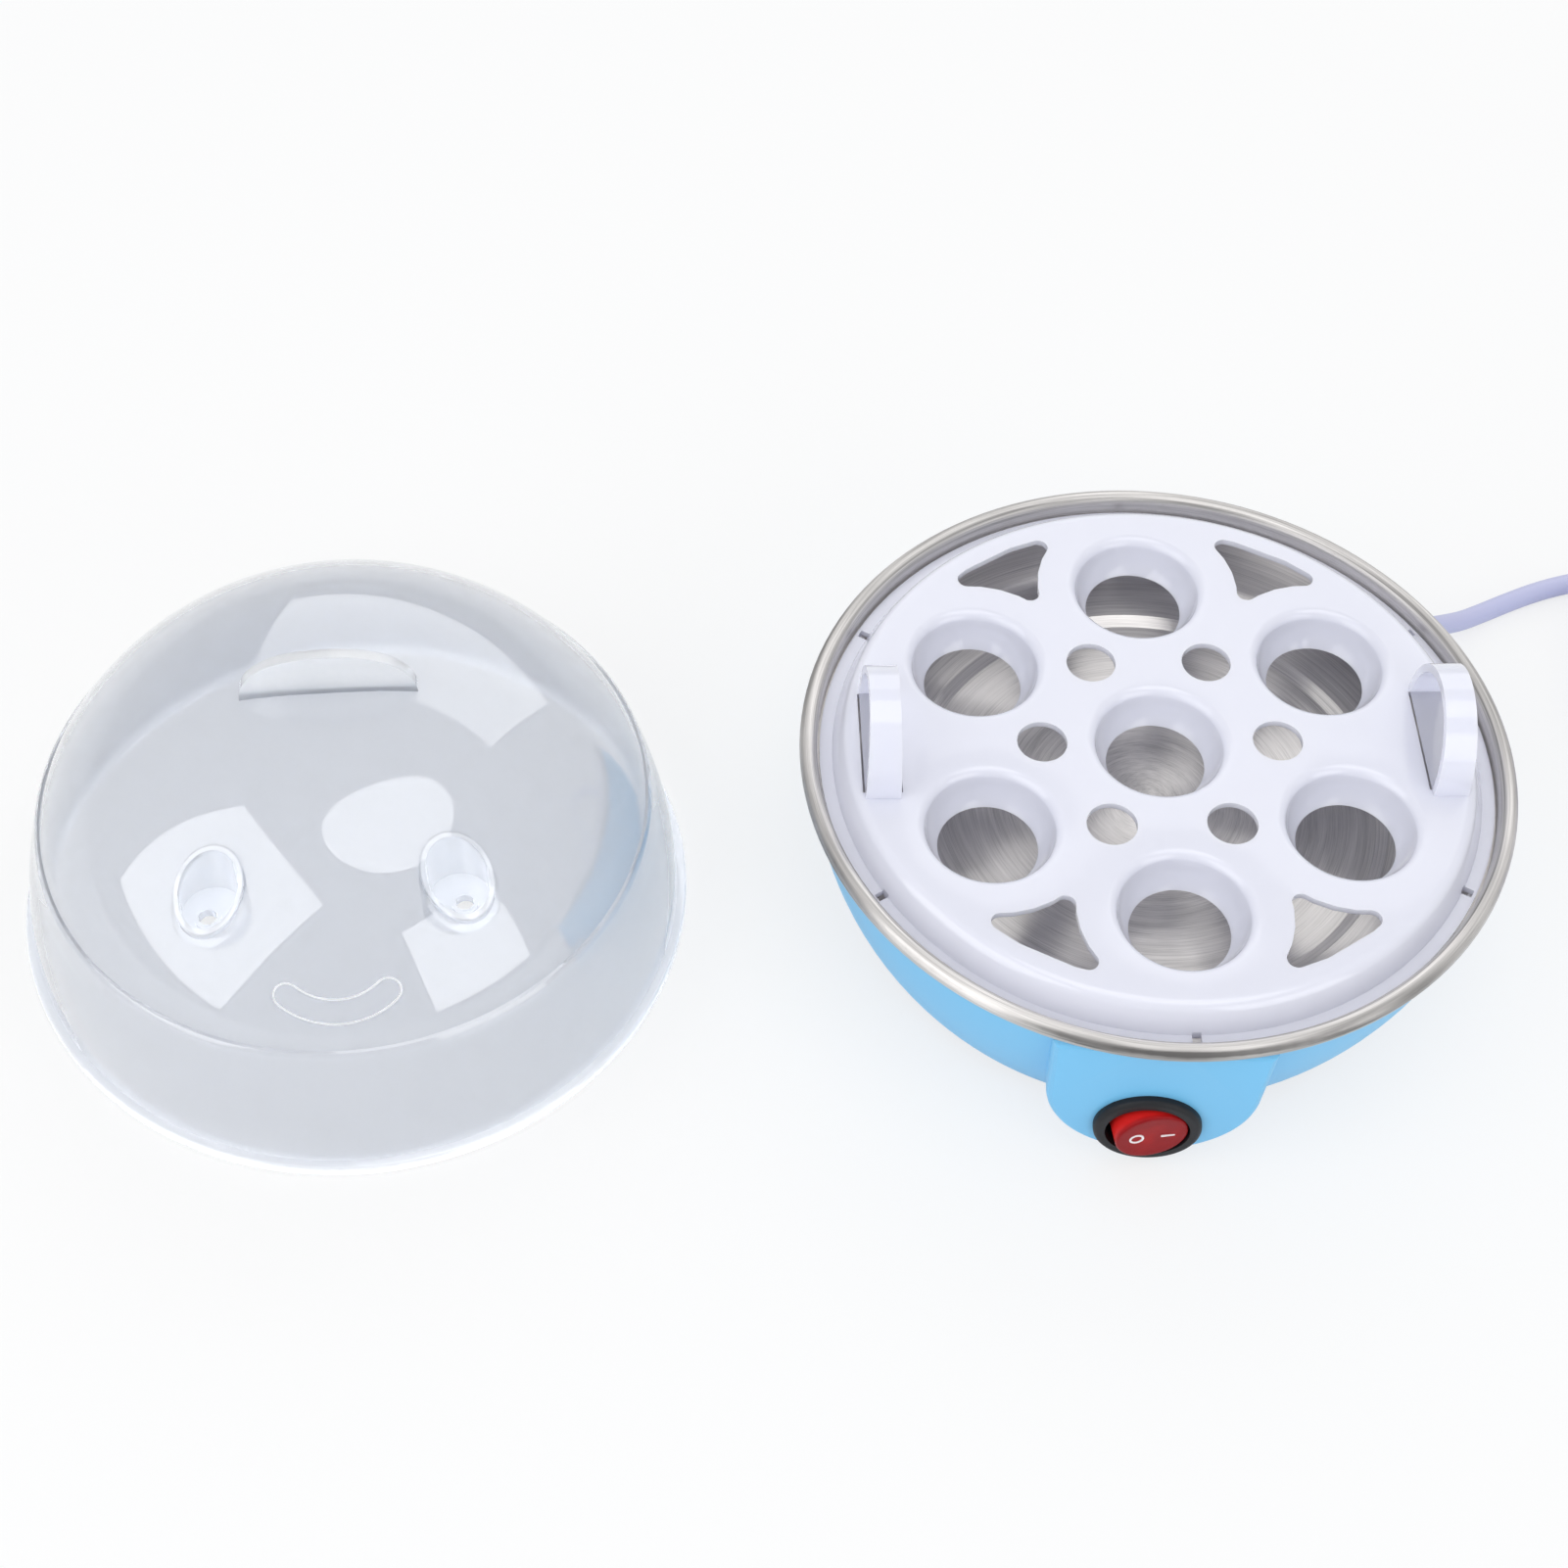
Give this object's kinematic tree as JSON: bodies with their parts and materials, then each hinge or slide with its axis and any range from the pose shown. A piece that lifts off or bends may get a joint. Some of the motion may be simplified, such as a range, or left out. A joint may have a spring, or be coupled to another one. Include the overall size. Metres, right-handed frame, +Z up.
{
  "type": "egg cooker",
  "caption": "Electric egg cooker: round bowl base with steel heating pan, lift-out egg tray with strap handles, front rocker switch, and a domed steam lid that stands beside it.",
  "frame": {"origin": "on the standing surface, at the bottom centre of the box round the base and the lid beside it, the mains lead left out", "axes": "+Z up, +X from the lid towards the base, and the switch faces -Y"},
  "size_m": [0.4521, 0.1979, 0.0835],
  "materials": {
    "blue_plastic": "glossy moulded ABS",
    "cover_plastic": "satin moulded plastic",
    "steel": "brushed stainless steel",
    "tray_plastic": "glossy moulded plastic",
    "lid_plastic": "frosted translucent plastic",
    "switch_black": "satin moulded nylon",
    "rocker_red": "translucent red plastic",
    "foot_rubber": "matte rubber",
    "screw_steel": "bright zinc plate",
    "cast_aluminium": "as cast",
    "element_metal": "dull annealed metal",
    "ceramic": "unglazed ceramic",
    "bakelite": "matte bakelite",
    "terminal_brass": "bare brass",
    "lamp_glass": "clear neon tube",
    "wire_brown": "PVC insulation",
    "wire_blue": "PVC insulation",
    "wire_white": "glass-fibre sleeving",
    "cord_pvc": "satin PVC",
    "clamp_nylon": "natural nylon",
    "tie_black": "coated wire tie",
    "pin_brass": "nickel-plated brass"
  },
  "bodies": {
    "base": {"housing": "blue_plastic", "bottom_cover": "cover_plastic", "rubber_feet": "foot_rubber", "cover_screws": "screw_steel", "heating_pan": "steel", "pan_studs": "screw_steel", "stud_nuts": "screw_steel", "heater_plate": "cast_aluminium", "heating_tube": "element_metal", "tube_pins": "ceramic", "thermostat": "bakelite", "thermostat_strap": "steel", "strap_screws": "screw_steel", "thermal_fuse": "ceramic", "switch_body": "switch_black", "switch_tabs": "terminal_brass", "switch_lamp": "lamp_glass", "spade_terminals": "terminal_brass", "live_lead": "wire_brown", "neutral_leads": "wire_blue", "switched_leads": "wire_white", "strain_relief": "cord_pvc", "cord_clamp": "clamp_nylon", "clamp_screws": "screw_steel", "power_cord": "cord_pvc", "cord_coil": "cord_pvc", "cord_tie": "tie_black", "plug": "cord_pvc", "plug_pins": "pin_brass"},
    "rocker": {"switch_rocker": "rocker_red"},
    "tray": {"egg_tray": "tray_plastic"},
    "lid": {"lid": "lid_plastic"}
  },
  "joints": [
    {"name": "rocker_tilt", "type": "hinge", "parent": "base", "child": "rocker", "pos_m": [0.0865, -0.0668, 0.0134], "axis": [0, 0, 1], "range_deg": [-24, 0]},
    {"name": "tray_lift", "type": "slide", "parent": "base", "child": "tray", "axis": [0, 0, 1], "range_m": [0, 0.08]},
    {"name": "lid_lift", "type": "slide", "parent": "base", "child": "lid", "axis": [0, 0, 1], "range_m": [0, 0.08]}
  ]
}
